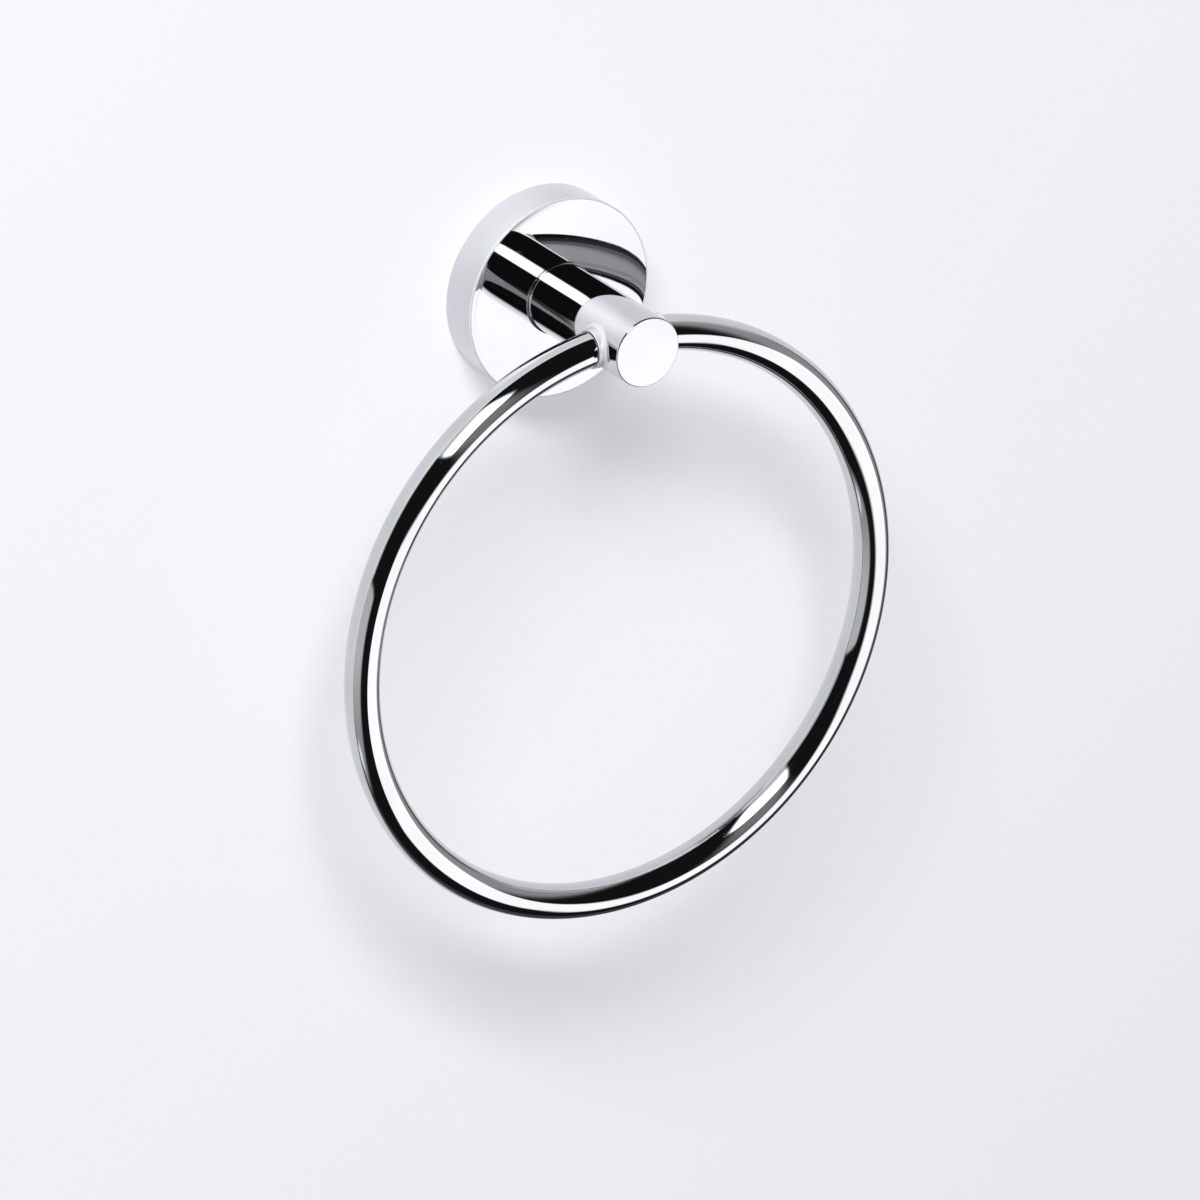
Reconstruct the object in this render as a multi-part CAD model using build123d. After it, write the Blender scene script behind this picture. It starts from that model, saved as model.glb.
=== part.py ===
from build123d import *
import math
import os

# Towel ring: a hollow round flange on a wall plate, a round post on the flange, and a round-bar hoop that
# hangs from two bosses on the post and swings on its two turned ends.
# Millimetres. The wall is the plane y = 0 and the part stands in front of it, towards -Y. +Z is up.
# The origin is the centre of the flange's foot, on the wall.

# Flange
flange_dia = 52.5            # outside diameter
flange_depth = 11.0          # from the wall to the flat face
flange_side_wall = 3.0       # thickness of the round side
flange_face_wall = 3.0       # thickness of the face that carries the post
flange_edge_round = 0.4      # round of the face's rim
flange_polish_width = 5.8    # outer band of the face that polishing has rolled off
flange_polish_drop = 0.12    # how far that band has dropped at the rim
flange_foot_chamfer = 0.4    # bevel inside the foot, so that it slips over the wall plate

# Post
post_dia = 18.3
post_reach = 50.8            # from the wall to the post's flat front
post_edge_round = 0.35       # round of the front's rim
post_cove = 0.35             # how far the cove round the post's foot spreads out
post_cove_height = 0.5
post_cove_land = 0.45        # height of the land under that cove
post_foot_round = 0.4        # round of the land's lower edge

# Bosses on the post
boss_margin = 0.5            # how much wider than the bar a boss is, all round
boss_rise = 1.4              # how far a boss stands out past the post's side
boss_root_fillet = 1.15
boss_edge_round = 0.2
boss_mouth_round = 0.1       # round of the mouth that the bar goes into

# Ring
ring_outer_dia = 160.0
bar_dia = 9.0
ring_setback = 10.3          # from the post's front to the plane of the ring
bar_end_round = 0.3
bar_entry = 0.5              # how deep each end of the bar sits in its boss
bar_entry_clearance = 0.18   # radial, bar in the mouth of its boss
ring_side_play = 0.2         # gap between each end of the bar and the bottom of that mouth

# Pivot
pivot_drop = 0.67            # how far its axis lies below the post's axis
spigot_dia = 6.0
spigot_length = 5.4
spigot_end_gap = 0.9         # room past a spigot's end
pivot_clearance = 0.05       # radial, spigot in bush
bush_wall = 1.0
bush_seat_clearance = 0.02   # radial, bush in post
bush_inset = 0.1             # how far below the bottom of the mouth a bush ends

# Post screw and its washer
post_screw_dia = 6.0
post_screw_length = 12.0     # under the head
post_screw_head_dia = 10.5
post_screw_head_flat = 5.6   # diameter of the flat on top of the dome
post_screw_head_height = 3.3
post_screw_dome_radius = 5.0
post_screw_socket = 4.0      # across flats
post_screw_socket_depth = 2.0
thread_clearance = 0.04      # radial, a screw in its tapped hole
through_clearance = 0.2      # radial, a screw in a plain hole
tapped_hole_spare = 3.0      # depth past the screw's end
washer_dia = 11.0
washer_thickness = 1.0

# Pip that stops the post from turning on the flange
pip_dia = 2.4
pip_height = 1.6
pip_offset = 6.2             # from the post's axis
pip_clearance = 0.1          # around and past the pip

# Wall plate
plate_front_gap = 1.5        # from the front of its rim to the inside of the flange's face
plate_floor = 2.5            # thickness of the dished middle
plate_rim_wall = 4.0         # width of the front of its rim
plate_undercut = 2.5         # how much narrower than its front the plate is at the wall, all round
plate_clearance = 0.2        # radial, plate in flange
plate_edge_round = 0.5
plate_hole_margin = 1.5      # room round the post screw's head, in the middle
slot_width = 4.6
slot_length = 7.0            # end to end

# Grub screw
grub_dia = 4.0
grub_socket = 2.0            # across flats
grub_socket_depth = 2.0
grub_recess = 0.5            # below the flange's side
grub_axis_depth = 3.6        # from the wall to its axis
grub_tip_flat = 0.8          # diameter of the blunt tip
grub_tip_clearance = 0.05    # tip to the wall plate's slope

# Worked-out sizes
flange_r = flange_dia / 2
flange_bore_r = flange_r - flange_side_wall
flange_bore_depth = flange_depth - flange_face_wall
flange_flat_r = flange_r - flange_polish_width
flange_polish_pull = 0.76 * flange_polish_width
post_r = post_dia / 2
bar_r = bar_dia / 2
boss_r = bar_r + boss_margin
boss_end = post_r + boss_rise
mouth_r = bar_r + bar_entry_clearance
bar_end = boss_end - bar_entry
mouth_bottom = bar_end - ring_side_play
ring_r = (ring_outer_dia - bar_dia) / 2
ring_depth = post_reach - ring_setback
ring_centre_z = -pivot_drop - math.sqrt(ring_r ** 2 - bar_end ** 2)
spigot_r = spigot_dia / 2
spigot_end = bar_end - spigot_length
bush_bore_r = spigot_r + pivot_clearance
bush_r = bush_bore_r + bush_wall
bush_outer_end = mouth_bottom - bush_inset
bush_inner_end = spigot_end - spigot_end_gap
post_screw_r = post_screw_dia / 2
post_screw_head_r = post_screw_head_dia / 2
screw_head_seat = flange_bore_depth - washer_thickness
screw_tip_depth = screw_head_seat + post_screw_length
plate_depth = flange_bore_depth - plate_front_gap
plate_front_r = flange_bore_r - plate_clearance
plate_back_r = plate_front_r - plate_undercut
plate_recess_r = plate_front_r - plate_rim_wall
plate_hole_r = post_screw_head_r + plate_hole_margin
slot_centre = (plate_hole_r + plate_recess_r) / 2
grub_r = grub_dia / 2
grub_outer = flange_r - grub_recess
grub_tip_r = grub_tip_flat / 2
plate_slope = plate_undercut / plate_depth
grub_tip = plate_back_r + plate_slope * (grub_axis_depth + grub_tip_r) + grub_tip_clearance


def about_wall_axis(profile):
    """Turns a half profile, drawn as (radius, y), once round the axis that leaves the wall."""
    return revolve(profile, axis=Axis.Y)


def rod_y(radius, start, end, z=0.0):
    """Makes a round rod along Y between two distances in front of the wall."""
    disc = Plane(origin=(0, -start, z), z_dir=(0, -1, 0)) * Circle(radius)
    return extrude(disc, amount=end - start)


def rod_x(radius, start, end):
    """Makes a round rod on the ring's pivot axis between two places along X."""
    disc = Plane(origin=(start, -ring_depth, -pivot_drop), z_dir=(1, 0, 0)) * Circle(radius)
    return extrude(disc, amount=end - start)


def hex_socket(across_flats, depth, mouth, inwards):
    """Makes the six-sided cutter of a socket, from its mouth inwards."""
    hexagon = RegularPolygon(across_flats / 2, 6, major_radius=False)
    return extrude(Plane(origin=mouth, z_dir=inwards) * hexagon, amount=depth)


def edges_at_both_ends(body, x):
    """Picks the edges that lie in the two planes at x and at -x."""
    edges = body.edges()
    return edges.filter_by_position(Axis.X, x, x) + edges.filter_by_position(Axis.X, -x, -x)


def make_flange():
    """Hollow cup with a flat face, a screw hole, a pip hole and a tapped hole in its underside."""
    with BuildSketch() as profile:
        with BuildLine():
            Bezier(
                (flange_flat_r, -flange_depth),
                (flange_flat_r + flange_polish_pull, -flange_depth),
                (flange_r, flange_polish_drop - flange_depth),
            )
            Polyline(
                (flange_r, flange_polish_drop - flange_depth),
                (flange_r, 0),
                (flange_bore_r + flange_foot_chamfer, 0),
                (flange_bore_r, -flange_foot_chamfer),
                (flange_bore_r, -flange_bore_depth),
                (0, -flange_bore_depth),
                (0, -flange_depth),
                (flange_flat_r, -flange_depth),
            )
        make_face()
        rim = profile.vertices().group_by(Axis.X)[-1].sort_by(Axis.Y)[0]
        fillet(rim, flange_edge_round)
    body = about_wall_axis(profile.sketch)
    body -= rod_y(post_screw_r + through_clearance, flange_bore_depth, flange_depth)
    pip_hole_end = flange_depth - pip_height - pip_clearance
    body -= rod_y(pip_dia / 2 + pip_clearance, pip_hole_end, flange_depth, z=pip_offset)
    underside = Plane(origin=(0, -grub_axis_depth, -flange_r), z_dir=(0, 0, 1))
    body -= extrude(underside * Circle(grub_r + thread_clearance), amount=flange_side_wall + grub_r)
    return body


def make_post():
    """Round post with a rounded, coved foot, two blended bosses, the bush seats and a tapped hole."""
    foot = -flange_depth
    front = -post_reach
    cove_r = post_r + post_cove
    cove_foot = foot - post_cove_land
    cove_top = cove_foot - post_cove_height
    cove_bend = (post_cove ** 2 + post_cove_height ** 2) / (2 * post_cove)
    with BuildSketch() as profile:
        with BuildLine():
            Polyline((0, front), (0, foot), (cove_r, foot), (cove_r, cove_foot))
            RadiusArc((cove_r, cove_foot), (post_r, cove_top), -cove_bend)
            Polyline((post_r, cove_top), (post_r, front), (0, front))
        make_face()
        rim = profile.vertices().group_by(Axis.Y)[0].sort_by(Axis.X)[-1]
        fillet(rim, post_edge_round)
        heel = profile.vertices().group_by(Axis.Y)[-1].sort_by(Axis.X)[-1]
        fillet(heel, post_foot_round)
    body = blend_bosses(about_wall_axis(profile.sketch))
    for side in (-1, 1):
        body -= rod_x(bush_r + bush_seat_clearance, side * bush_inner_end, side * mouth_bottom)
    body -= rod_y(post_screw_r + thread_clearance, flange_depth, screw_tip_depth + tapped_hole_spare)
    body += rod_y(pip_dia / 2, flange_depth - pip_height, flange_depth, z=pip_offset)
    return body


def blend_bosses(body):
    """Adds the two bosses, fillets their roots, opens their mouths and rounds both rims of each."""
    joined = body + rod_x(boss_r, -boss_end, boss_end)
    roots = [e for e in joined.edges() if e.geom_type not in (GeomType.CIRCLE, GeomType.LINE)]
    joined = fillet(roots, boss_root_fillet)
    joined = fillet(edges_at_both_ends(joined, boss_end), boss_edge_round)
    for side in (-1, 1):
        joined -= rod_x(mouth_r, side * mouth_bottom, side * (boss_end + 1))
    mouths = [e for e in edges_at_both_ends(joined, boss_end) if abs(e.radius - mouth_r) < 0.01]
    return fillet(mouths, boss_mouth_round)


def make_ring():
    """Open hoop of round bar, cut square to the pivot axis at its two ends, with a spigot on each."""
    hoop_plane = Plane(origin=(0, -ring_depth, ring_centre_z), z_dir=(0, -1, 0))
    hoop = hoop_plane * Torus(ring_r, bar_r)
    gap = Pos(0, -ring_depth, 0) * Box(2 * bar_end, 2 * bar_dia, 2 * bar_dia)
    body = hoop - gap
    body = fillet(edges_at_both_ends(body, bar_end), bar_end_round)
    for side in (-1, 1):
        body += rod_x(spigot_r, side * spigot_end, side * (bar_end + bar_r))
    return body


def make_bush(side):
    """Plain bearing sleeve in one boss."""
    sleeve = rod_x(bush_r, side * bush_inner_end, side * bush_outer_end)
    return sleeve - rod_x(bush_bore_r, side * bush_inner_end, side * bush_outer_end)


def make_post_screw():
    """Domed socket screw that pulls the post onto the flange from inside."""
    seat = -screw_head_seat
    top = seat + post_screw_head_height
    flat_r = post_screw_head_flat / 2
    with BuildSketch() as profile:
        with BuildLine():
            Polyline(
                (flat_r, top),
                (0, top),
                (0, -screw_tip_depth),
                (post_screw_r, -screw_tip_depth),
                (post_screw_r, seat),
                (post_screw_head_r, seat),
            )
            RadiusArc((flat_r, top), (post_screw_head_r, seat), post_screw_dome_radius)
        make_face()
    body = about_wall_axis(profile.sketch)
    return body - hex_socket(post_screw_socket, post_screw_socket_depth, (0, top, 0), (0, -1, 0))


def make_lock_washer():
    """Washer between the screw's head and the inside of the flange."""
    disc = rod_y(washer_dia / 2, screw_head_seat, flange_bore_depth)
    return disc - rod_y(post_screw_r + through_clearance, screw_head_seat, flange_bore_depth)


def make_wall_plate():
    """Dished plate with an undercut rim for the grub screw and two slots for wall screws."""
    with BuildSketch() as profile:
        with BuildLine():
            Polyline(
                (plate_hole_r, 0),
                (plate_back_r, 0),
                (plate_front_r, -plate_depth),
                (plate_recess_r, -plate_depth),
                (plate_recess_r, -plate_floor),
                (plate_hole_r, -plate_floor),
                close=True,
            )
        make_face()
        fillet(profile.vertices().group_by(Axis.X)[-1], plate_edge_round)
    body = about_wall_axis(profile.sketch)
    for side in (-1, 1):
        spot = Plane(origin=(side * slot_centre, 0, 0), x_dir=(1, 0, 0), z_dir=(0, -1, 0))
        body -= extrude(spot * SlotOverall(slot_length, slot_width), amount=plate_floor)
    return body


def make_grub_screw():
    """Headless socket screw with a cone tip, up through the flange's underside."""
    cone_foot = grub_tip + grub_r - grub_tip_r
    with BuildSketch(Plane.XZ) as profile:
        with BuildLine():
            Polyline(
                (0, -grub_outer),
                (grub_r, -grub_outer),
                (grub_r, -cone_foot),
                (grub_tip_r, -grub_tip),
                (0, -grub_tip),
                close=True,
            )
        make_face()
    body = Pos(0, -grub_axis_depth, 0) * revolve(profile.sketch, axis=Axis.Z)
    return body - hex_socket(grub_socket, grub_socket_depth, (0, -grub_axis_depth, -grub_outer), (0, 0, 1))


pieces = {
    "flange": make_flange(),
    "post": make_post(),
    "ring": make_ring(),
    "left_bush": make_bush(-1),
    "right_bush": make_bush(1),
    "post_screw": make_post_screw(),
    "lock_washer": make_lock_washer(),
    "wall_plate": make_wall_plate(),
    "grub_screw": make_grub_screw(),
}

os.makedirs("parts", exist_ok=True)
for name, piece in pieces.items():
    piece.label = name
    export_step(piece, os.path.join("parts", name + ".step"))
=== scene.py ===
"""Looks of the wall-mounted towel ring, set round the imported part.

Metres. The wall is the plane y = 0, the part stands in front of it towards -Y, and +Z is up.
The origin is the centre of the flange's foot.
"""

import logging
import math
from dataclasses import dataclass
from enum import Enum
from typing import Callable, Optional, Sequence, Union

import bpy
from mathutils import Matrix, Vector

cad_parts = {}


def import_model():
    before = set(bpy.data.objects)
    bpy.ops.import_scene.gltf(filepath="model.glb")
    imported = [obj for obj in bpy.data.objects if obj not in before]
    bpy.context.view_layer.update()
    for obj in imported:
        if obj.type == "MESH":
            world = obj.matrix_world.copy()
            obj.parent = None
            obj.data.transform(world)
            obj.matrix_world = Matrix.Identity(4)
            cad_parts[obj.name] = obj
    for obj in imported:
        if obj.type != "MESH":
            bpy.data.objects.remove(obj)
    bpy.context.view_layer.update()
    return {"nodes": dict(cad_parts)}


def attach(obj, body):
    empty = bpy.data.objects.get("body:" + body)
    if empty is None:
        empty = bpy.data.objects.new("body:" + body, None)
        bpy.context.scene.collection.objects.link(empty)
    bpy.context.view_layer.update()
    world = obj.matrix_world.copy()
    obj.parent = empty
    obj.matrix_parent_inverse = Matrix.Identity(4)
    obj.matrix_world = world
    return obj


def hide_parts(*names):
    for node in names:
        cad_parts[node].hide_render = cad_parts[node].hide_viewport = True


LOG = logging.getLogger("towel_ring")
MM = 0.001
QUARTER_TURN = math.pi / 2
WHITE = (1.0, 1.0, 1.0)
BLACK = (0.0, 0.0, 0.0)

Triple = tuple[float, float, float]
Feed = Union[float, Sequence[float], bpy.types.NodeSocket]


class Body(Enum):
    """The two bodies of the part."""

    BRACKET = "bracket"
    HOOP = "hoop"


class Slot(Enum):
    """The material slots."""

    CHROME = "chrome"
    BUSH = "bush_plastic"
    FASTENER = "fastener_steel"
    PLATE = "plate_steel"


class Detail(Enum):
    """The shared surface effects, each a shader node group."""

    CLOUD = "Polish cloud"
    HAIRLINES = "Hairline scratches"
    TURNING = "Turning marks"
    SOFTBOX_EDGE = "Softbox edge"


HIDDEN_NODES = {
    Slot.BUSH: ("left_bush", "right_bush"),
    Slot.FASTENER: ("post_screw", "lock_washer", "grub_screw"),
    Slot.PLATE: ("wall_plate",),
}


class NodeDesk:
    """Lays out nodes in one tree."""

    def __init__(self, tree: bpy.types.NodeTree) -> None:
        """Keeps the tree.

        Args:
            tree: the node tree to work in.
        """
        self.tree = tree

    def add(self, kind: str, **settings: object) -> bpy.types.Node:
        """Adds a node.

        Args:
            kind: the node's type name.
            settings: properties to set on it.

        Returns:
            The new node.
        """
        node = self.tree.nodes.new(kind)
        for name, value in settings.items():
            setattr(node, name, value)
        return node

    def feed(self, socket: bpy.types.NodeSocket, value: Feed) -> None:
        """Links a socket, or sets its own value.

        Args:
            socket: the input to fill.
            value: another socket, a number or a row of numbers. A colour may come without alpha.
        """
        if isinstance(value, bpy.types.NodeSocket):
            self.tree.links.new(value, socket)
        elif socket.type == "RGBA":
            socket.default_value = (*value[:3], 1.0)
        else:
            socket.default_value = value

    def fill(self, node: bpy.types.Node, **values: Feed) -> bpy.types.Node:
        """Fills a node's inputs by name.

        Args:
            node: the node.
            values: its inputs by name, with _ for a space.

        Returns:
            The same node.
        """
        for name, value in values.items():
            self.feed(node.inputs[name.replace("_", " ")], value)
        return node

    def math(self, operation: str, *values: Feed) -> bpy.types.NodeSocket:
        """Adds a Math node.

        Args:
            operation: the node's operation.
            values: what goes into it, in order.

        Returns:
            Its output.
        """
        node = self.add("ShaderNodeMath", operation=operation)
        for socket, value in zip(node.inputs, values):
            self.feed(socket, value)
        return node.outputs[0]

    def vector(self, operation: str, *values: Feed) -> bpy.types.Node:
        """Adds a Vector Math node.

        Args:
            operation: the node's operation.
            values: what goes into it, in order.

        Returns:
            The node, because its useful output depends on the operation.
        """
        node = self.add("ShaderNodeVectorMath", operation=operation)
        for socket, value in zip(node.inputs, values):
            self.feed(socket, value)
        return node

    def along(self, place: Feed, axis: Feed) -> bpy.types.NodeSocket:
        """Measures a vector along an axis.

        Args:
            place: the vector.
            axis: the axis, a row of numbers or another socket.

        Returns:
            Their dot product.
        """
        return self.vector("DOT_PRODUCT", place, axis).outputs["Value"]

    def spread(self, value: Feed, low: float, high: float, to_low: float, to_high: float,
               smooth: bool = False) -> bpy.types.NodeSocket:
        """Adds a Map Range node.

        Args:
            value: what is mapped.
            low: the value that gives to_low.
            high: the value that gives to_high.
            to_low: the result at low.
            to_high: the result at high.
            smooth: whether the ends are eased.

        Returns:
            Its output.
        """
        ease = "SMOOTHSTEP" if smooth else "LINEAR"
        node = self.add("ShaderNodeMapRange", interpolation_type=ease)
        self.fill(node, Value=value, From_Min=low, From_Max=high, To_Min=to_low, To_Max=to_high)
        return node.outputs["Result"]

    def blend(self, factor: Feed, first: Feed, second: Feed) -> bpy.types.NodeSocket:
        """Adds a colour Mix node.

        Args:
            factor: how much of the second colour shows.
            first: the colour at 0.
            second: the colour at 1.

        Returns:
            Its colour output.
        """
        node = self.add("ShaderNodeMix", data_type="RGBA")
        colour_inputs = [s for s in node.inputs if s.type == "RGBA"]
        self.feed(node.inputs[0], factor)
        self.feed(colour_inputs[0], first)
        self.feed(colour_inputs[1], second)
        return next(s for s in node.outputs if s.type == "RGBA")

    def choose(self, factor: bpy.types.NodeSocket, first: bpy.types.Node,
               second: bpy.types.Node) -> bpy.types.Node:
        """Adds a Mix Shader node.

        Args:
            factor: how much of the second shader shows.
            first: the shader at 0.
            second: the shader at 1.

        Returns:
            The node.
        """
        node = self.add("ShaderNodeMixShader")
        for socket, value in zip(node.inputs, (factor, first.outputs[0], second.outputs[0])):
            self.feed(socket, value)
        return node

    def effect(self, detail: Detail, **values: Feed) -> bpy.types.Node:
        """Places a shared effect.

        Args:
            detail: which effect.
            values: its inputs by name, with _ for a space.

        Returns:
            The group node.
        """
        node = self.add("ShaderNodeGroup")
        node.node_tree = bpy.data.node_groups[detail.value]
        return self.fill(node, **values)

    def second_mirror(self, path: bpy.types.Node, first_only: float = 1.5) -> bpy.types.NodeSocket:
        """Tells where a mirror shows another mirror.

        Args:
            path: the tree's Light Path node.
            first_only: a glossy depth between one mirror and two.

        Returns:
            One there and zero elsewhere.
        """
        return self.math("GREATER_THAN", path.outputs["Glossy Depth"], first_only)


@dataclass(frozen=True)
class EffectLibrary:
    """Builds the shared effects once."""

    cloud_detail: float = 3.0
    cloud_roughness: float = 0.45
    cloud_span: tuple[float, float] = (0.3, 0.7)
    scratch_stretch: Triple = (1.0, 1.0, 0.23)
    scratch_gaps: tuple[float, float] = (0.52, 0.62)

    def build(self) -> None:
        """Makes every node group that the finishes and the studio use."""
        self.cloud()
        self.hairlines()
        self.turning()
        self.softbox_edge()

    def start(self, detail: Detail, output: str, vectors: Sequence[str],
              numbers: Sequence[str]) -> tuple[NodeDesk, bpy.types.Node, bpy.types.NodeSocket]:
        """Opens a new group.

        Args:
            detail: the effect that the group gives.
            output: name of its one output, a number.
            vectors: names of its vector inputs.
            numbers: names of its number inputs.

        Returns:
            The desk, the group's input node and the socket that takes the result.
        """
        tree = bpy.data.node_groups.new(detail.value, "ShaderNodeTree")
        for name in vectors:
            tree.interface.new_socket(name, in_out="INPUT", socket_type="NodeSocketVector")
        for name in numbers:
            tree.interface.new_socket(name, in_out="INPUT", socket_type="NodeSocketFloat")
        tree.interface.new_socket(output, in_out="OUTPUT", socket_type="NodeSocketFloat")
        desk = NodeDesk(tree)
        return desk, desk.add("NodeGroupInput"), desk.add("NodeGroupOutput").inputs[output]

    def cloud(self) -> None:
        """Soft uneven patches, as a polishing wheel leaves them."""
        desk, ins, result = self.start(Detail.CLOUD, "Mask", ["Vector"], ["Scale"])
        broad = desk.fill(desk.add("ShaderNodeTexNoise"), Vector=ins.outputs["Vector"],
                          Scale=ins.outputs["Scale"], Detail=self.cloud_detail,
                          Roughness=self.cloud_roughness)
        desk.feed(result, desk.spread(broad.outputs[0], *self.cloud_span, 0.0, 1.0, smooth=True))

    def hairlines(self) -> None:
        """Sparse fine scratches that cross each other."""
        desk, ins, result = self.start(Detail.HAIRLINES, "Mask", ["Vector"], ["Scale", "Width"])
        place, scale = ins.outputs["Vector"], ins.outputs["Scale"]
        stretched = desk.vector("MULTIPLY", place, self.scratch_stretch).outputs[0]
        cells = desk.fill(desk.add("ShaderNodeTexVoronoi", feature="DISTANCE_TO_EDGE"),
                          Vector=stretched, Scale=scale)
        line = desk.math("LESS_THAN", cells.outputs["Distance"], ins.outputs["Width"])
        gaps = desk.fill(desk.add("ShaderNodeTexNoise"), Vector=place, Scale=scale)
        broken = desk.spread(gaps.outputs[0], *self.scratch_gaps, 0.0, 1.0)
        desk.feed(result, desk.math("MULTIPLY", line, broken))

    def turning(self) -> None:
        """Fine rings round an axis, as a lathe tool leaves them. The axis is the vector's Z."""
        desk, ins, result = self.start(Detail.TURNING, "Height", ["Vector"], ["Pitch"])
        parts = desk.add("ShaderNodeSeparateXYZ")
        desk.feed(parts.inputs[0], ins.outputs["Vector"])
        across = desk.math("POWER", parts.outputs["X"], 2.0)
        up = desk.math("POWER", parts.outputs["Y"], 2.0)
        radius = desk.math("SQRT", desk.math("ADD", across, up))
        travel = desk.math("ADD", radius, parts.outputs["Z"])
        phase = desk.math("DIVIDE", desk.math("MULTIPLY", travel, math.tau), ins.outputs["Pitch"])
        desk.feed(result, desk.spread(desk.math("SINE", phase), -1.0, 1.0, 0.0, 1.0))

    def softbox_edge(self) -> None:
        """One straight edge of a studio panel: 1 on its lit side, 0 past it."""
        desk, ins, result = self.start(Detail.SOFTBOX_EDGE, "Mask", ["Direction", "Normal"],
                                       ["Softness"])
        side = desk.along(ins.outputs["Direction"], ins.outputs["Normal"])
        share = desk.math("DIVIDE", side, ins.outputs["Softness"])
        desk.feed(result, desk.spread(share, -1.0, 1.0, 0.0, 1.0, smooth=True))


def new_material(
        name: str) -> tuple[bpy.types.Material, NodeDesk, bpy.types.Node, bpy.types.NodeSocket]:
    """Starts a material.

    Args:
        name: the material's name.

    Returns:
        The material, its desk, its Principled shader and the object coordinates.
    """
    material = bpy.data.materials.new(name)
    material.use_nodes = True
    material.node_tree.nodes.clear()
    desk = NodeDesk(material.node_tree)
    shader = desk.add("ShaderNodeBsdfPrincipled")
    desk.fill(desk.add("ShaderNodeOutputMaterial"), Surface=shader.outputs["BSDF"])
    place = desk.add("ShaderNodeTexCoord").outputs["Object"]
    return material, desk, shader, place


@dataclass(frozen=True)
class Satin:
    """Matt band on polished chrome."""

    gloss: float = 0.45
    metal: float = 0.5
    tone: Triple = (0.77, 0.775, 0.785)

    def mask(self, desk: NodeDesk, place: bpy.types.NodeSocket) -> bpy.types.NodeSocket:
        """Builds the band's mask.

        Args:
            desk: the material's desk.
            place: the object coordinates.

        Returns:
            One on the band and zero elsewhere.
        """
        raise NotImplementedError


@dataclass(frozen=True)
class BossSatin(Satin):
    """Band on the two bosses round the pivot, where a wheel can't reach."""

    pivot: Triple = (0.0, -40.5 * MM, -0.67 * MM)
    radius: float = 6.2 * MM
    edge: float = 0.372 * MM

    def mask(self, desk: NodeDesk, place: bpy.types.NodeSocket) -> bpy.types.NodeSocket:
        """Builds the band's mask from the distance to the pivot's axis.

        Args:
            desk: the material's desk.
            place: the object coordinates.

        Returns:
            One on the bosses and zero elsewhere.
        """
        offset = desk.vector("SUBTRACT", place, self.pivot).outputs[0]
        across = desk.vector("MULTIPLY", offset, (0.0, 1.0, 1.0)).outputs[0]
        away = desk.vector("LENGTH", across).outputs["Value"]
        ring = desk.spread(away, self.radius - self.edge, self.radius, 1.0, 0.0, smooth=True)
        sideways = desk.math("ABSOLUTE", desk.along(offset, (1.0, 0.0, 0.0)))
        return desk.math("MULTIPLY", ring, desk.math("GREATER_THAN", sideways, self.radius))


@dataclass(frozen=True)
class RimSatin(Satin):
    """Band on the round of the flange's rim."""

    radius: float = 25.85 * MM
    front: float = 10.48 * MM
    width: float = 0.12 * MM

    def mask(self, desk: NodeDesk, place: bpy.types.NodeSocket) -> bpy.types.NodeSocket:
        """Builds the band's mask from the distance to the flange's axis and to the wall.

        Args:
            desk: the material's desk.
            place: the object coordinates.

        Returns:
            One on the rim's round and zero elsewhere.
        """
        across = desk.vector("MULTIPLY", place, (1.0, 0.0, 1.0)).outputs[0]
        away = desk.vector("LENGTH", across).outputs["Value"]
        ring = desk.spread(away, self.radius - self.width, self.radius, 0.0, 1.0)
        out = desk.along(place, (0.0, -1.0, 0.0))
        ahead = desk.spread(out, self.front - self.width, self.front, 0.0, 1.0)
        return desk.math("MULTIPLY", ring, ahead)


@dataclass(frozen=True)
class ChromeFinish:
    """Mirror-polished chrome plate."""

    name: str = "chrome_mirror"
    bright: Triple = (0.640, 0.648, 0.662)
    dull: Triple = (0.600, 0.608, 0.622)
    gloss_low: float = 0.012
    gloss_high: float = 0.035
    cloud_scale: float = 55.0
    scratch_scale: float = 420.0
    scratch_width: float = 0.004
    scratch_gloss: float = 0.10
    satin: Optional[Satin] = None

    def material(self) -> bpy.types.Material:
        """Builds the material.

        Returns:
            The finished material.
        """
        material, desk, shader, place = new_material(self.name)
        cloud = desk.effect(Detail.CLOUD, Vector=place, Scale=self.cloud_scale).outputs["Mask"]
        lines = desk.effect(Detail.HAIRLINES, Vector=place, Scale=self.scratch_scale,
                            Width=self.scratch_width).outputs["Mask"]
        tone = desk.blend(cloud, self.bright, self.dull)
        gloss = desk.spread(cloud, 0.0, 1.0, self.gloss_low, self.gloss_high)
        gloss = desk.math("ADD", gloss, desk.math("MULTIPLY", lines, self.scratch_gloss))
        metal: Feed = 1.0
        if self.satin is not None:
            band = self.satin.mask(desk, place)
            tone = desk.blend(band, tone, self.satin.tone)
            gloss = desk.math("ADD", gloss, desk.math("MULTIPLY", band, self.satin.gloss))
            metal = desk.spread(band, 0.0, 1.0, 1.0, self.satin.metal)
        desk.fill(shader, Base_Color=tone, Roughness=gloss, Metallic=metal)
        return material


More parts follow.
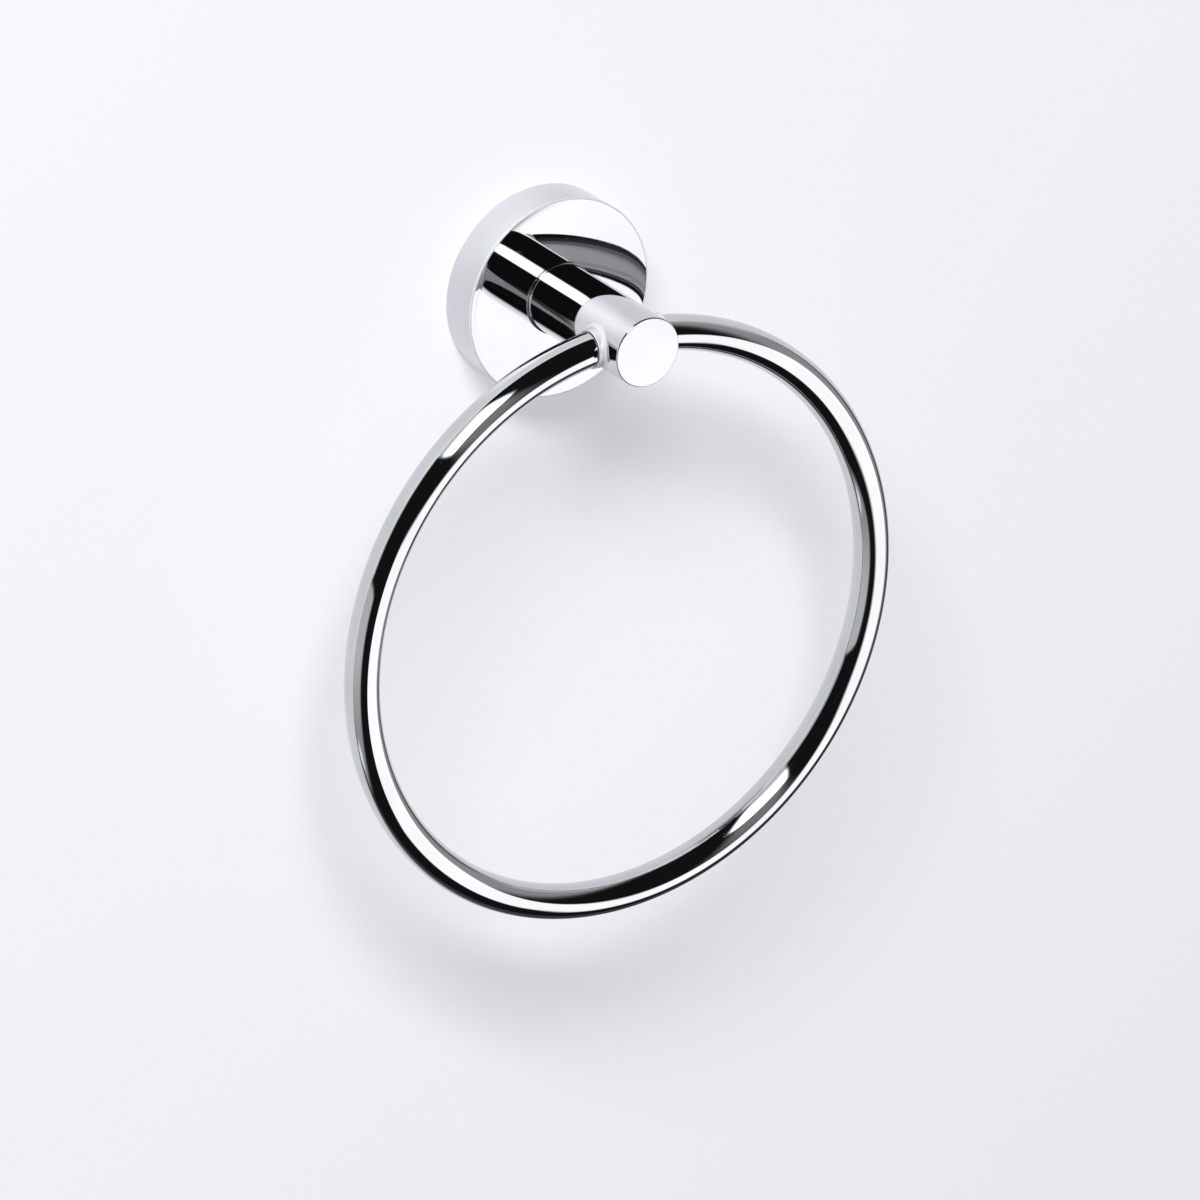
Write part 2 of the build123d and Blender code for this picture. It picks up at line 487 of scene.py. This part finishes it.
@dataclass(frozen=True)
class TurningMarks:
    """Marks that a lathe or a press leaves on a piece."""

    pitch: float
    depth: float
    strength: float
    axis_turn: Triple

    def apply(self, desk: NodeDesk, shader: bpy.types.Node, place: bpy.types.NodeSocket) -> None:
        """Gives the shader the marks' bump.

        Args:
            desk: the material's desk.
            shader: the material's Principled shader.
            place: the object coordinates.
        """
        turned = desk.fill(desk.add("ShaderNodeMapping"), Vector=place, Rotation=self.axis_turn)
        marks = desk.effect(Detail.TURNING, Vector=turned.outputs[0], Pitch=self.pitch)
        bump = desk.fill(desk.add("ShaderNodeBump"), Strength=self.strength, Distance=self.depth,
                         Height=marks.outputs["Height"])
        desk.fill(shader, Normal=bump.outputs["Normal"])


@dataclass(frozen=True)
class ZincFinish:
    """Bright zinc plate on steel, with tooling marks."""

    name: str
    bright: Triple = (0.60, 0.61, 0.61)
    dull: Triple = (0.44, 0.45, 0.45)
    gloss_low: float = 0.24
    gloss_high: float = 0.42
    cloud_scale: float = 260.0
    scratch_scale: float = 650.0
    scratch_width: float = 0.02
    marks: TurningMarks = TurningMarks(0.35 * MM, 0.02 * MM, 0.5, (QUARTER_TURN, 0.0, 0.0))

    def material(self) -> bpy.types.Material:
        """Builds the material.

        Returns:
            The finished material.
        """
        material, desk, shader, place = new_material(self.name)
        cloud = desk.effect(Detail.CLOUD, Vector=place, Scale=self.cloud_scale).outputs["Mask"]
        lines = desk.effect(Detail.HAIRLINES, Vector=place, Scale=self.scratch_scale,
                            Width=self.scratch_width).outputs["Mask"]
        worn = desk.math("MAXIMUM", cloud, lines)
        desk.fill(shader, Base_Color=desk.blend(worn, self.bright, self.dull), Metallic=1.0,
                  Roughness=desk.spread(worn, 0.0, 1.0, self.gloss_low, self.gloss_high))
        self.marks.apply(desk, shader, place)
        return material


@dataclass(frozen=True)
class AcetalFinish:
    """Natural white acetal, as turned."""

    name: str = "acetal_white"
    pale: Triple = (0.78, 0.77, 0.73)
    deep: Triple = (0.66, 0.65, 0.60)
    gloss_low: float = 0.38
    gloss_high: float = 0.52
    cloud_scale: float = 420.0
    marks: TurningMarks = TurningMarks(0.12 * MM, 0.01 * MM, 0.4, (0.0, QUARTER_TURN, 0.0))

    def material(self) -> bpy.types.Material:
        """Builds the material.

        Returns:
            The finished material.
        """
        material, desk, shader, place = new_material(self.name)
        cloud = desk.effect(Detail.CLOUD, Vector=place, Scale=self.cloud_scale).outputs["Mask"]
        desk.fill(shader, Base_Color=desk.blend(cloud, self.pale, self.deep),
                  Roughness=desk.spread(cloud, 0.0, 1.0, self.gloss_low, self.gloss_high))
        self.marks.apply(desk, shader, place)
        return material


@dataclass
class DressedNode:
    """A CAD node that keeps its shape and gets a finish."""

    node: str

    def dress(self, nodes: dict[str, bpy.types.Object], material: bpy.types.Material) -> None:
        """Puts the finish on every slot of the node.

        Args:
            nodes: the frame's CAD objects by name.
            material: the finish.
        """
        for place in nodes[self.node].material_slots:
            place.material = material
        LOG.info("%s keeps its CAD shape, finish %s", self.node, material.name)


def pick_faces(piece: bpy.types.Object, wanted: Callable[[bpy.types.MeshPolygon], bool]) -> None:
    """Selects faces of the piece in edit mode by their place or normal.

    Args:
        piece: the object in edit mode.
        wanted: tells whether a face is selected.
    """
    bpy.ops.mesh.select_all(action="DESELECT")
    bpy.ops.object.mode_set(mode="OBJECT")
    for face in piece.data.polygons:
        face.select = wanted(face)
    bpy.context.tool_settings.mesh_select_mode = (False, False, True)
    bpy.ops.object.mode_set(mode="EDIT")


@dataclass
class Hoop:
    """Round-bar hoop, cut square at the pivot, with a rounded end and a turned spigot each side."""

    ring_radius: float = 75.5 * MM
    bar_radius: float = 4.485 * MM
    depth: float = 40.5 * MM
    pivot_drop: float = 0.67 * MM
    bar_end: float = 10.05 * MM
    end_zone: float = 30.15 * MM
    end_round: float = 0.3 * MM
    end_turns: tuple[float, ...] = (22.5, 45.0, 67.5, 90.0)
    spigot_radius: float = 3.0 * MM
    spigot_length: float = 5.4 * MM
    spigot_round: float = 0.2 * MM
    sides: int = 96
    steps: int = 360
    start: float = math.radians(6.4)
    crease: float = math.radians(35.0)
    tolerance: float = 0.001 * MM
    cut_tolerance: float = 0.0001 * MM
    flatness: float = 0.999

    def build(self) -> bpy.types.Object:
        """Spins the bar round the hoop's centre and turns its two ends.

        Returns:
            The hoop's object.
        """
        rise = math.sqrt(self.ring_radius ** 2 - self.bar_end ** 2)
        middle = Vector((0.0, -self.depth, -self.pivot_drop - rise))
        spoke = Vector((math.sin(self.start), 0.0, math.cos(self.start)))
        bpy.ops.object.select_all(action="DESELECT")
        bpy.ops.mesh.primitive_circle_add(vertices=self.sides, radius=self.bar_radius,
                                          location=middle + spoke * self.ring_radius,
                                          rotation=(0.0, QUARTER_TURN + self.start, 0.0))
        hoop = bpy.context.active_object
        hoop.name = "hoop_bar"
        bpy.ops.object.transform_apply(location=True, rotation=True, scale=True)
        bpy.ops.object.mode_set(mode="EDIT")
        bpy.ops.mesh.select_all(action="SELECT")
        bpy.ops.mesh.spin(steps=self.steps, angle=math.tau - 2.0 * self.start, center=middle,
                          axis=(0.0, -1.0, 0.0))
        bpy.ops.mesh.select_all(action="SELECT")
        bpy.ops.mesh.remove_doubles(threshold=self.tolerance)
        for side in (-1.0, 1.0):
            self.turn_end(hoop, side, middle)
        bpy.ops.mesh.select_all(action="SELECT")
        bpy.ops.mesh.normals_make_consistent(inside=False)
        bpy.ops.object.mode_set(mode="OBJECT")
        bpy.ops.object.shade_smooth_by_angle(angle=self.crease)
        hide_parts("ring")
        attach(hoop, Body.HOOP.value)
        return hoop

    def turn_end(self, hoop: bpy.types.Object, side: float, middle: Vector) -> None:
        """Cuts one end of the bar square, rounds it and draws out its spigot.

        Args:
            hoop: the hoop's object, in edit mode.
            side: 1 for the right end, -1 for the left one.
            middle: the hoop's centre.
        """
        cut = self.bar_end + self.end_round
        pick_faces(hoop, lambda f: (0.0 < side * f.center.x < self.end_zone
                                    and f.center.z > middle.z))
        bpy.ops.mesh.bisect(plane_co=(side * cut, 0.0, 0.0), plane_no=(side, 0.0, 0.0),
                            use_fill=True, clear_inner=True, threshold=self.cut_tolerance)
        pick_faces(hoop, lambda f: (abs(side * f.center.x - cut) < self.tolerance
                                    and abs(f.normal.x) > self.flatness))
        x, radius = cut, self.bar_radius
        for turn in self.end_turns:
            angle = math.radians(turn)
            to_x = cut - self.end_round * math.sin(angle)
            to_radius = self.bar_radius - self.end_round * (1.0 - math.cos(angle))
            self.draw_out(side, x, to_x, to_radius / radius)
            x, radius = to_x, to_radius
        self.draw_out(side, x, x, self.spigot_radius / radius)
        tip = x - self.spigot_length
        self.draw_out(side, x, tip + self.spigot_round, 1.0)
        shrink = 1.0 - self.spigot_round / self.spigot_radius
        self.draw_out(side, tip + self.spigot_round, tip, shrink)

    def draw_out(self, side: float, start: float, end: float, growth: float) -> None:
        """Extrudes the selected end face along the pivot and resizes it about the pivot.

        Args:
            side: 1 for the right end, -1 for the left one.
            start: where the face is along the pivot.
            end: where it goes.
            growth: how much wider it gets.
        """
        move = (side * (end - start), 0.0, 0.0)
        bpy.ops.mesh.extrude_region_move(TRANSFORM_OT_translate={"value": move})
        bpy.ops.transform.resize(value=(1.0, growth, growth),
                                 center_override=(side * end, -self.depth, -self.pivot_drop))

    def dress(self, hoop: bpy.types.Object, material: bpy.types.Material) -> None:
        """Puts the finish on the hoop.

        Args:
            hoop: the hoop's object.
            material: the finish.
        """
        hoop.data.materials.clear()
        hoop.data.materials.append(material)
        LOG.info("%s stands for the ring, finish %s", hoop.name, material.name)


def direction(azimuth: float, elevation: float) -> Vector:
    """Gives a direction from the part into the room.

    Args:
        azimuth: degrees from straight out of the wall, positive to the right.
        elevation: degrees above the horizon.

    Returns:
        A unit vector.
    """
    a, e = math.radians(azimuth), math.radians(elevation)
    return Vector((math.sin(a) * math.cos(e), -math.cos(a) * math.cos(e), math.sin(e)))


def level(azimuth: float) -> Vector:
    """Gives the level direction to the right of someone who looks at the part.

    Args:
        azimuth: where they stand, in degrees from straight out of the wall.

    Returns:
        A unit vector.
    """
    return Vector((math.cos(math.radians(azimuth)), math.sin(math.radians(azimuth)), 0.0))


def stand(name: str, data: bpy.types.ID, place: Vector, right: Vector,
          back: Vector) -> bpy.types.Object:
    """Stands a lamp or a camera in the room.

    Args:
        name: the object's name.
        data: the lamp's or the camera's data.
        place: where it stands.
        right: its own right.
        back: the direction away from what it looks at.

    Returns:
        The object.
    """
    piece = bpy.data.objects.new(name, data)
    turn = Matrix((right, back.cross(right), back)).transposed()
    piece.matrix_world = Matrix.Translation(place) @ turn.to_4x4()
    bpy.context.scene.collection.objects.link(piece)
    return piece


@dataclass(frozen=True)
class Softbox:
    """A flat panel of the studio, seen from the part.

    Its corners are azimuth and elevation in degrees, its softness is one angle for each edge, and
    repeat is the share of its light that shows where a mirror shows another mirror.
    """

    name: str
    radiance: float
    corners: tuple[tuple[float, float], ...]
    softness: tuple[float, ...]
    repeat: float = 1.0

    def light(self, desk: NodeDesk, looking: bpy.types.NodeSocket,
              second: bpy.types.NodeSocket) -> bpy.types.NodeSocket:
        """Builds the panel's light in the world.

        Args:
            desk: the world's desk.
            looking: the direction that is looked in.
            second: one where a mirror shows another mirror, zero elsewhere.

        Returns:
            The panel's radiance in that direction.
        """
        points = [direction(*corner) for corner in self.corners]
        middle = sum(points, Vector())
        lit: Feed = self.radiance
        for start, end, soft in zip(points, points[1:] + points[:1], self.softness):
            normal = start.cross(end).normalized()
            if normal.dot(middle) < 0.0:
                normal.negate()
            edge = desk.effect(Detail.SOFTBOX_EDGE, Direction=looking, Normal=normal,
                               Softness=math.sin(math.radians(soft)))
            lit = desk.math("MULTIPLY", edge.outputs["Mask"], lit)
        if self.repeat < 1.0:
            lit = desk.math("MULTIPLY", lit, desk.spread(second, 0.0, 1.0, 1.0, self.repeat))
        lit.node.label = self.name
        return lit


@dataclass(frozen=True)
class StudioWorld:
    """What surrounds the part: dark room with panels for its mirrors, even light for the wall."""

    fill: float = 0.06
    backdrop: Triple = (0.87, 0.885, 0.915)
    dark: float = 0.009
    rear: float = 0.62
    rear_edge: float = 0.15
    panels: tuple[Softbox, ...] = (
        Softbox("high front", 3.0,
                ((-9.5, 19), (1, 30), (0, 38.5), (-5, 45.5), (-53, 66.7), (-53, 45.1), (-38, 38.6)),
                (2, 2, 2, 3.5, 8, 1.2, 1.2)),
        Softbox("high left", 0.75,
                ((-53, 66.7), (-95, 68), (-95, 49.4), (-53, 45.1)),
                (3.5, 2, 1.2, 8)),
        Softbox("slanting strip", 0.25,
                ((-9.5, 19), (1, 31), (27, -16), (22, -14)),
                (2, 3, 2, 2)),
        Softbox("low front", 1.52,
                ((-2, -8.5), (10, -11), (30, -19), (36, -46.5), (-3, -45.5)),
                (3, 2, 3, 2.5, 8)),
        Softbox("low right", 1.52,
                ((30, -19), (32.2, -10), (38.2, -4.4), (46, -0.6), (54, 1.6), (60, 1.3), (75, -20),
                 (73, -39), (60, -50.5), (40, -51), (36, -46.5)),
                (2, 2, 1.5, 1.5, 2, 6, 8, 5, 4, 3, 3)),
        Softbox("left, near the horizon", 0.25,
                ((-105, 9.5), (-70, 6.3), (-56, 2.7), (-43, -2), (-41, -24), (-105, -24)),
                (1.5, 1.5, 1.5, 5, 14, 3)),
        Softbox("left, down to the floor", 0.38,
                ((-105, 9.5), (-70, 6.3), (-56, 2.7), (-43, -2), (-41, -32), (-62, -49),
                 (-105, -57)),
                (1.5, 1.5, 1.5, 6, 6, 4, 3)),
        Softbox("low left strip", 0.85,
                ((-97, -48), (-97, -41), (-76, -41), (-76, -48)),
                (3, 3, 5, 3)),
        Softbox("far left", 0.75,
                ((-83, 9), (-83, 50), (-110, 50), (-110, 9)),
                (5, 2, 2, 2)),
        Softbox("right", 0.36,
                ((45, -2), (51, 24), (66, 58), (105, 74), (105, -36), (72, -26)),
                (10, 11, 7, 2, 14, 6), repeat=0.1),
        Softbox("far right", 0.25,
                ((79, 22), (81, 56), (105, 68), (105, 22)),
                (5, 5, 2, 6), repeat=0.1),
    )

    def build(self) -> None:
        """Makes the world and hands it to the scene."""
        world = bpy.data.worlds.new("studio")
        bpy.context.scene.world = world
        world.use_nodes = True
        world.node_tree.nodes.clear()
        desk = NodeDesk(world.node_tree)
        path = desk.add("ShaderNodeLightPath")
        mirrored, even, plain = (desk.add("ShaderNodeBackground") for _ in range(3))
        desk.fill(mirrored, Color=WHITE, Strength=self.mirror_light(desk, path))
        desk.fill(even, Color=WHITE, Strength=self.fill)
        desk.fill(plain, Color=self.backdrop)
        for_mirrors = desk.choose(path.outputs["Is Glossy Ray"], even, mirrored)
        for_camera = desk.choose(path.outputs["Is Camera Ray"], for_mirrors, plain)
        desk.fill(desk.add("ShaderNodeOutputWorld"), Surface=for_camera.outputs[0])
        LOG.info("studio: %d panels round the part", len(self.panels))

    def mirror_light(self, desk: NodeDesk, path: bpy.types.Node) -> bpy.types.NodeSocket:
        """Builds what the mirrors see: the panels, and the pale half behind the wall.

        Only views from behind the wall can see that half.

        Args:
            desk: the world's desk.
            path: the world's Light Path node.

        Returns:
            The radiance in the direction that is looked in.
        """
        looking = desk.add("ShaderNodeTexCoord").outputs["Generated"]
        second = desk.second_mirror(path)
        behind = desk.along(looking, (0.0, 1.0, 0.0))
        rear = desk.spread(behind, 0.0, self.rear_edge, 0.0, self.rear, smooth=True)
        seen = desk.math("ADD", rear, self.dark)
        for panel in self.panels:
            seen = desk.math("ADD", seen, panel.light(desk, looking, second))
        return seen


@dataclass
class Wall:
    """Pale painted wall, open behind the flange so that the back of the part gets light.

    The painted glow and the painted shade are only for mirrors. The painted glow is emitted light
    near the flange's upper left, standing in for the key light that the flange's chrome throws onto
    the wall. The painted shade makes the wall's colour darker towards the lower right. A mirror's
    mirror shows the wall with more painted shade still, most of all to the far right.
    """

    opening_radius: float = 25.6 * MM
    reach: float = 4.0
    sides: int = 160
    offset: float = 0.05 * MM
    paint: Triple = (0.892, 0.905, 0.940)
    paint_shade: Triple = (0.880, 0.893, 0.928)
    cloud_scale: float = 900.0
    gloss: float = 0.9
    # Painted glow: emitted light that only mirrors see, standing in for light the flange's chrome
    # throws onto the wall
    painted_glow: float = 0.46
    painted_glow_place: Triple = (-22.0 * MM, 0.0, 37.0 * MM)
    painted_glow_reach: float = 35.0 * MM
    # Painted shade: the wall's colour, as mirrors see it, gets darker towards the lower right
    painted_shade_along: Triple = (0.45, 0.0, -0.9)
    painted_shade_start: float = 140.0 * MM
    painted_shade_end: float = 205.0 * MM
    painted_shade_share: float = 0.92
    # Painted shade on the wall where a mirror shows another mirror, stronger to the right
    second_mirror_shade_near: float = 70.0 * MM
    second_mirror_shade_far: float = 125.0 * MM
    second_mirror_shade_share: float = 0.25
    second_mirror_shade_far_share: float = 0.75

    def build(self) -> bpy.types.Object:
        """Models the wall from the rim of its opening outwards.

        Returns:
            The wall's object.
        """
        middle = (0.0, self.offset, 0.0)
        bpy.ops.object.select_all(action="DESELECT")
        bpy.ops.mesh.primitive_circle_add(vertices=self.sides, radius=self.opening_radius,
                                          location=middle, rotation=(QUARTER_TURN, 0.0, 0.0))
        wall = bpy.context.active_object
        wall.name = "wall"
        bpy.ops.object.transform_apply(location=True, rotation=True, scale=True)
        bpy.ops.object.mode_set(mode="EDIT")
        bpy.ops.mesh.select_all(action="SELECT")
        growth = self.reach / self.opening_radius
        bpy.ops.mesh.extrude_edges_move()
        bpy.ops.transform.resize(value=(growth, 1.0, growth), center_override=middle)
        bpy.ops.mesh.select_all(action="SELECT")
        bpy.ops.mesh.normals_make_consistent(inside=False)
        bpy.ops.object.mode_set(mode="OBJECT")
        if wall.data.polygons[0].normal.y > 0.0:
            wall.data.flip_normals()
        return wall

    def dress(self, wall: bpy.types.Object) -> None:
        """Paints the front, with painted shade and a painted glow that only mirrors see, and leaves
        the back clear so that views from behind show the part.

        Args:
            wall: the wall's object.
        """
        material, desk, shader, place = new_material("wall_paint")
        path = desk.add("ShaderNodeLightPath")
        cloud = desk.effect(Detail.CLOUD, Vector=place, Scale=self.cloud_scale).outputs["Mask"]
        tone = desk.blend(cloud, self.paint, self.paint_shade)
        # The wall's colour carries painted shade, which only mirrors see
        desk.fill(shader, Base_Color=desk.blend(self.painted_mirror_shade(desk, path, place), tone, BLACK),
                  Roughness=self.gloss, Specular_IOR_Level=0.0)
        # Painted glow near the flange's upper left: emission that only mirrors see, which stands in
        # for light thrown onto the wall
        away = desk.vector("DISTANCE", place, self.painted_glow_place).outputs["Value"]
        painted_glow = desk.spread(away, 0.0, self.painted_glow_reach, self.painted_glow, 0.0, smooth=True)
        lit = desk.math("MULTIPLY", painted_glow, path.outputs["Is Glossy Ray"])
        desk.fill(shader, Emission_Color=desk.blend(lit, BLACK, WHITE), Emission_Strength=1.0)
        material.cycles.emission_sampling = "NONE"
        back = desk.add("ShaderNodeNewGeometry").outputs["Backfacing"]
        both = desk.choose(back, shader, desk.add("ShaderNodeBsdfTransparent"))
        output = next(n for n in desk.tree.nodes if n.type == "OUTPUT_MATERIAL")
        desk.fill(output, Surface=both.outputs[0])
        wall.data.materials.append(material)
        LOG.info("wall stands behind the part")

    def painted_mirror_shade(self, desk: NodeDesk, path: bpy.types.Node,
                place: bpy.types.NodeSocket) -> bpy.types.NodeSocket:
        """Builds the painted shade in the wall's colour: how much darker the mirrors see the wall.

        Args:
            desk: the material's desk.
            path: the material's Light Path node.
            place: the object coordinates.

        Returns:
            Zero for the full tone and one for black.
        """
        # Painted shade: darker towards the lower right, for mirrors only
        low = desk.along(place, self.painted_shade_along)
        painted_shade = desk.spread(low, self.painted_shade_start, self.painted_shade_end, 0.0, self.painted_shade_share)
        painted_shade = desk.math("MULTIPLY", painted_shade, path.outputs["Is Glossy Ray"])
        # Painted shade where a mirror shows another mirror, stronger to the right
        right = desk.along(place, (1.0, 0.0, 0.0))
        share = desk.spread(right, self.second_mirror_shade_near, self.second_mirror_shade_far, self.second_mirror_shade_share,
                            self.second_mirror_shade_far_share)
        return desk.math("MAXIMUM", painted_shade, desk.math("MULTIPLY", desk.second_mirror(path), share))


@dataclass
class BlackCard:
    """Black card in front of the hoop's left side, which only the mirrors see."""

    left: float = -170.0 * MM
    right: float = -57.0 * MM
    top: float = -40.0 * MM
    bottom: float = -480.0 * MM
    stand_off: float = 390.0 * MM
    thickness: float = 2.0 * MM
    tone: Triple = (0.010, 0.010, 0.011)
    tone_worn: Triple = (0.014, 0.014, 0.015)
    cloud_scale: float = 40.0
    gloss: float = 0.95

    def build(self) -> bpy.types.Object:
        """Models the card.

        Returns:
            The card's object.
        """
        middle = ((self.left + self.right) / 2, -self.stand_off, (self.top + self.bottom) / 2)
        bpy.ops.object.select_all(action="DESELECT")
        bpy.ops.mesh.primitive_plane_add(size=1.0, rotation=(QUARTER_TURN, 0.0, 0.0),
                                         location=middle)
        card = bpy.context.active_object
        card.name = "black_card"
        card.scale = (self.right - self.left, self.top - self.bottom, 1.0)
        bpy.ops.object.transform_apply(location=True, rotation=True, scale=True)
        bpy.ops.object.mode_set(mode="EDIT")
        bpy.ops.mesh.select_all(action="SELECT")
        forwards = (0.0, -self.thickness, 0.0)
        bpy.ops.mesh.extrude_region_move(TRANSFORM_OT_translate={"value": forwards})
        bpy.ops.mesh.select_all(action="SELECT")
        bpy.ops.mesh.normals_make_consistent(inside=False)
        bpy.ops.object.mode_set(mode="OBJECT")
        card.visible_camera = False
        card.visible_diffuse = False
        card.visible_transmission = False
        card.visible_shadow = False
        card.visible_volume_scatter = False
        return card

    def dress(self, card: bpy.types.Object) -> None:
        """Puts black paper on the card.

        Args:
            card: the card's object.
        """
        material, desk, shader, place = new_material("black_paper")
        cloud = desk.effect(Detail.CLOUD, Vector=place, Scale=self.cloud_scale).outputs["Mask"]
        desk.fill(shader, Base_Color=desk.blend(cloud, self.tone, self.tone_worn),
                  Roughness=self.gloss, Specular_IOR_Level=0.0)
        card.data.materials.append(material)
        LOG.info("black card stands in front of the hoop's left side")


@dataclass(frozen=True)
class SoftLamp:
    """Lamp that only the wall and rough surfaces see. Mirrors see the studio's own panels."""

    name: str
    azimuth: float
    elevation: float
    distance: float
    width: float
    height: float
    power: float
    shadow: bool = True
    aim: Triple = (0.0, 0.0, -0.06)

    def build(self) -> None:
        """Makes the lamp."""
        light = bpy.data.lights.new(self.name, "AREA")
        light.shape = "RECTANGLE"
        light.size = self.width
        light.size_y = self.height
        light.energy = self.power
        light.use_shadow = self.shadow
        towards = direction(self.azimuth, self.elevation)
        place = Vector(self.aim) + towards * self.distance
        lamp = stand(self.name, light, place, level(self.azimuth), towards)
        lamp.visible_camera = False
        lamp.visible_glossy = False
        LOG.info("lamp %s %.2f m away", self.name, self.distance)


@dataclass(frozen=True)
class PhotoCamera:
    """Long lens at the photograph's viewing angle."""

    azimuth: float = -33.35
    elevation: float = 22.96
    roll: float = 1.03
    distance: float = 3.7218
    focal_px: float = 15000.0
    frame_px: float = 1200.0
    aim_px: tuple[float, float] = (64.67, -317.02)
    sensor: float = 36.0

    def build(self) -> None:
        """Makes the camera and hands it to the scene."""
        back = direction(self.azimuth, self.elevation)
        flat = level(self.azimuth)
        upright = back.cross(flat)
        tilt = math.radians(self.roll)
        right = math.cos(tilt) * flat + math.sin(tilt) * upright
        up = -math.sin(tilt) * flat + math.cos(tilt) * upright
        aim_right, aim_up = (offset / self.focal_px for offset in self.aim_px)
        ahead = (-back + right * aim_right + up * aim_up).normalized()
        right = (right - ahead * right.dot(ahead)).normalized()
        data = bpy.data.cameras.new("photo_camera")
        data.sensor_width = self.sensor
        data.lens = self.sensor * self.focal_px / self.frame_px
        camera = stand("photo_camera", data, back * self.distance, right, -ahead)
        bpy.context.scene.camera = camera
        LOG.info("camera %.2f m away, lens %.0f mm", self.distance, data.lens)


def main() -> None:
    """Builds the pieces, the studio and the camera in order."""
    logging.basicConfig(level=logging.INFO, format="%(name)s: %(message)s")
    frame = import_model()
    bpy.context.scene.view_settings.view_transform = "Standard"
    EffectLibrary().build()
    nodes = frame["nodes"]
    chrome = ChromeFinish().material()
    DressedNode("flange").dress(nodes, ChromeFinish("chrome_flange", satin=RimSatin()).material())
    DressedNode("post").dress(nodes, ChromeFinish("chrome_post", satin=BossSatin()).material())
    hoop = Hoop()
    hoop.dress(hoop.build(), chrome)
    press_marks = TurningMarks(0.8 * MM, 0.02 * MM, 0.5, (QUARTER_TURN, 0.0, 0.0))
    hidden_finishes = {
        Slot.BUSH: AcetalFinish(),
        Slot.FASTENER: ZincFinish("zinc_fastener"),
        Slot.PLATE: ZincFinish("zinc_plate", marks=press_marks),
    }
    for slot, finish in hidden_finishes.items():
        material = finish.material()
        for name in HIDDEN_NODES[slot]:
            DressedNode(name).dress(nodes, material)
    wall = Wall()
    wall.dress(wall.build())
    card = BlackCard()
    card.dress(card.build())
    StudioWorld().build()
    SoftLamp("key", azimuth=-34.6, elevation=45.6, distance=5.0, width=2.75, height=1.3,
             power=184.0).build()
    SoftLamp("fill", azimuth=-30.0, elevation=20.0, distance=8.0, width=1.0, height=1.0,
             power=404.0, shadow=False).build()
    PhotoCamera().build()


if __name__ == "__main__":
    main()
